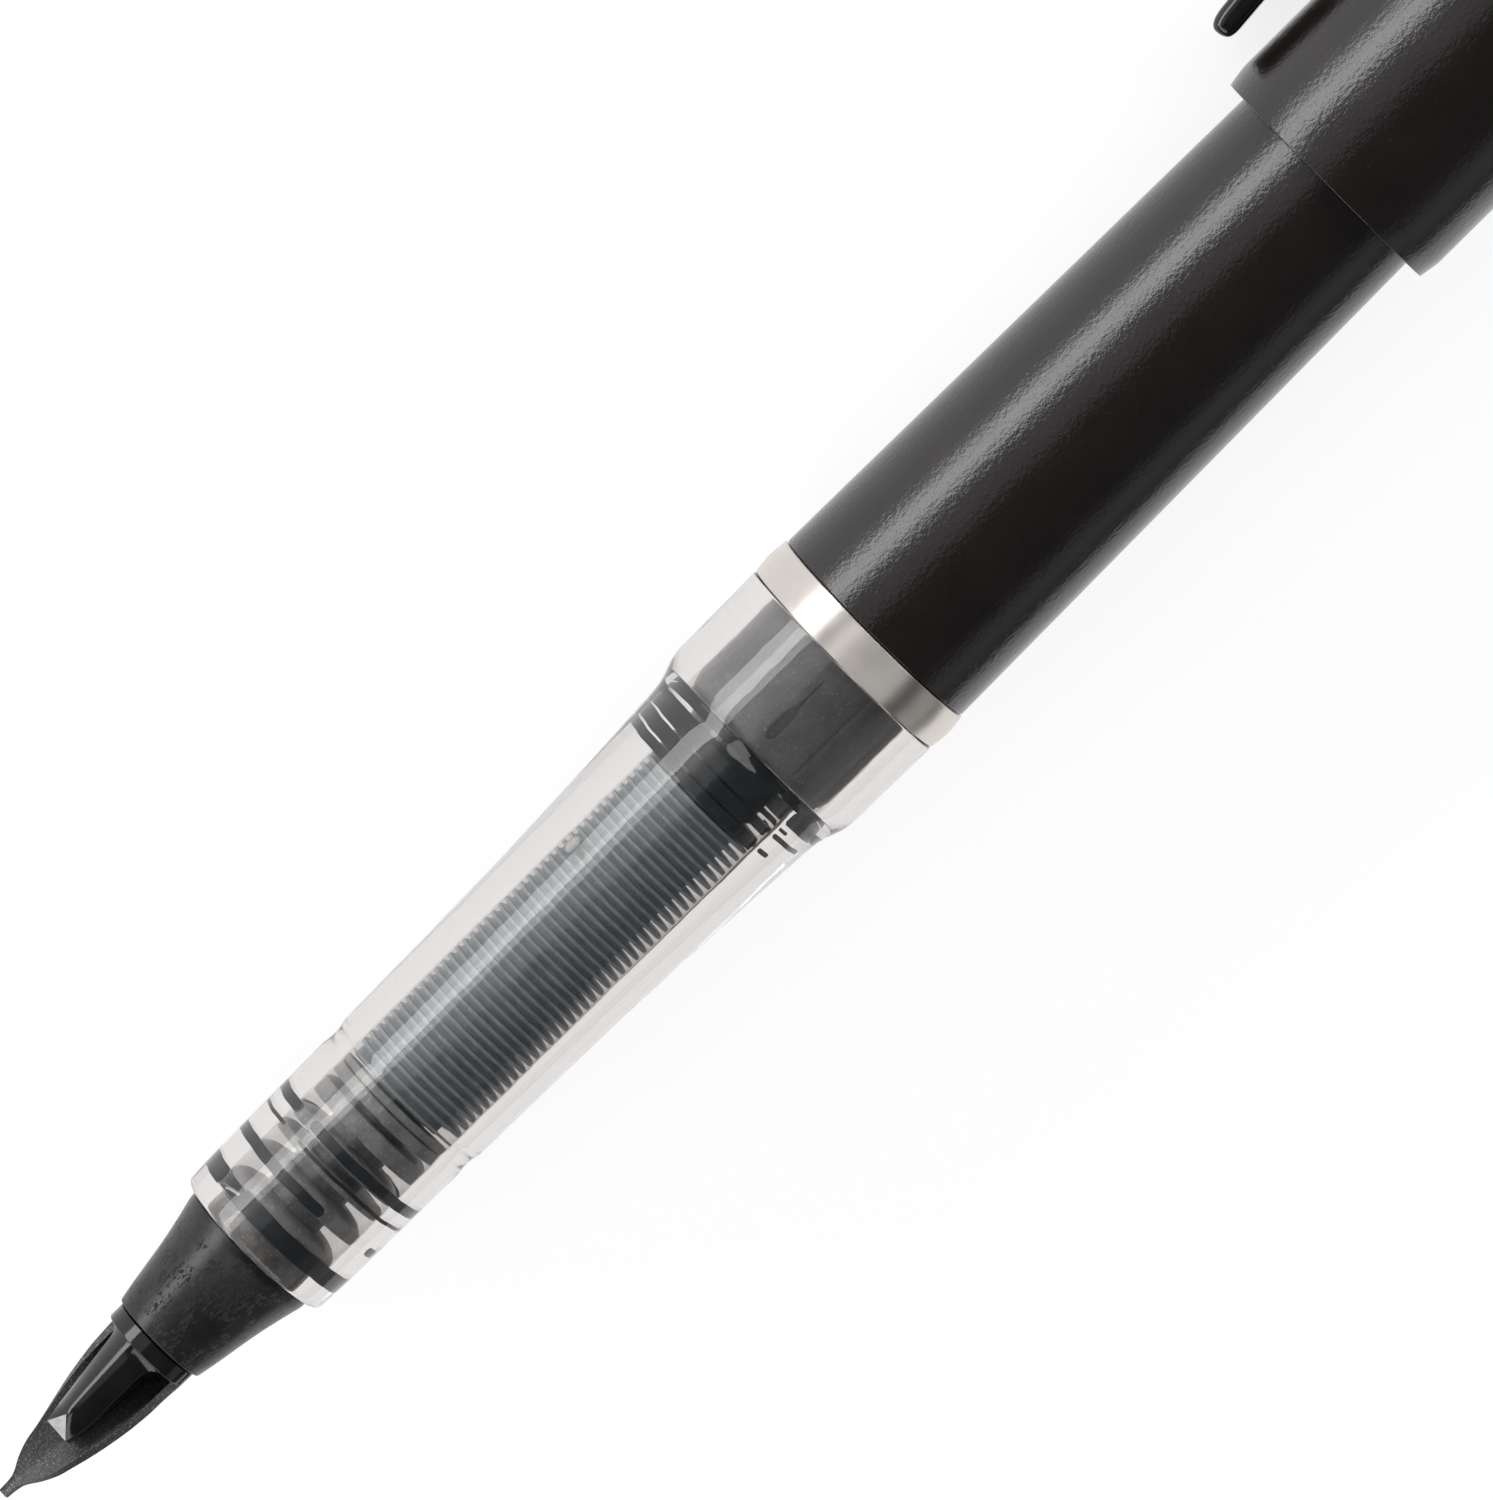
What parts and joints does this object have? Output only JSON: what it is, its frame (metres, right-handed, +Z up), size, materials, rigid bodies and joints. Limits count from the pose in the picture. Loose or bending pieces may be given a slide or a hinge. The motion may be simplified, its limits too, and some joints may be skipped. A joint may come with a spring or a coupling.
{
  "type": "plastic-nib brush pen",
  "caption": "Push-cap drawing pen with a moulded nib and feed, a clear grip section over a finned ink collector, a metal trim ring, a tapered barrel and a clip cap posted on the rear.",
  "frame": {"origin": "centre of the bounding box on the surface that the pen lies on", "axes": "+X along the pen from the nib to the cap, +Y towards the side that the clip rests on, +Z up"},
  "size_m": [0.1582, 0.017, 0.0134],
  "materials": {
    "nib_plastic": "grainy moulded plastic",
    "gloss_black": "glossy",
    "soft_black": "satin",
    "clear_plastic": "clear, polished",
    "dark_grey": "satin",
    "slate": "satin",
    "fibre": "ink-soaked felt",
    "tank_plastic": "milky clear",
    "ball_plastic": "smooth",
    "ink": "wet",
    "bright_metal": "polished, warm",
    "textured_black": "fine sparked texture"
  },
  "bodies": {
    "barrel": {"barrel": "textured_black", "barrel_tail_plug": "textured_black"},
    "cap": {"cap_shell": "textured_black", "cap_liner": "dark_grey", "cap_crown": "textured_black"},
    "clip": {"clip": "gloss_black"},
    "ring": {"trim_ring": "bright_metal"},
    "section": {"nib_housing": "soft_black", "feed": "gloss_black", "grip_section": "clear_plastic", "collector_head": "dark_grey", "collector_comb": "slate", "collector_base": "dark_grey", "ink_wick": "fibre", "tank_socket": "dark_grey"},
    "nib": {"nib": "nib_plastic"},
    "tank": {"ink_tank": "tank_plastic", "tank_plug": "dark_grey", "tank_seal_ball": "ball_plastic", "ink": "ink"}
  },
  "joints": [
    {"name": "cap_pull", "type": "slide", "parent": "barrel", "child": "cap", "axis": [1, 0, 0], "range_m": [0, 0.045]},
    {"name": "clip_flex", "type": "hinge", "parent": "cap", "child": "clip", "pos_m": [0.0755, 0.00387, 0.00385], "axis": [0, -0.454, -0.891], "range_deg": [0, 4], "stiffness_Nm_per_rad": 0.5},
    {"name": "ring_slide", "type": "slide", "parent": "barrel", "child": "ring", "axis": [-1, 0, 0], "range_m": [0, 0.006]},
    {"name": "section_turn", "type": "hinge", "parent": "ring", "child": "section", "pos_m": [-0.0196, -0.00174, 0.00671], "axis": [-1, 0, 0], "range_deg": [0, 1440]},
    {"name": "tank_pull", "type": "slide", "parent": "section", "child": "tank", "axis": [1, 0, 0], "range_m": [0, 0.006]},
    {"name": "nib_flex", "type": "hinge", "parent": "section", "child": "nib", "pos_m": [-0.0675, -0.00296, 0.00567], "axis": [0, -0.6494, 0.7604], "range_deg": [0, 3], "stiffness_Nm_per_rad": 0.02}
  ],
  "couplings": [
    {"joint": "section_turn", "follows": "ring_slide", "rad_per_m": 4188.8}
  ]
}
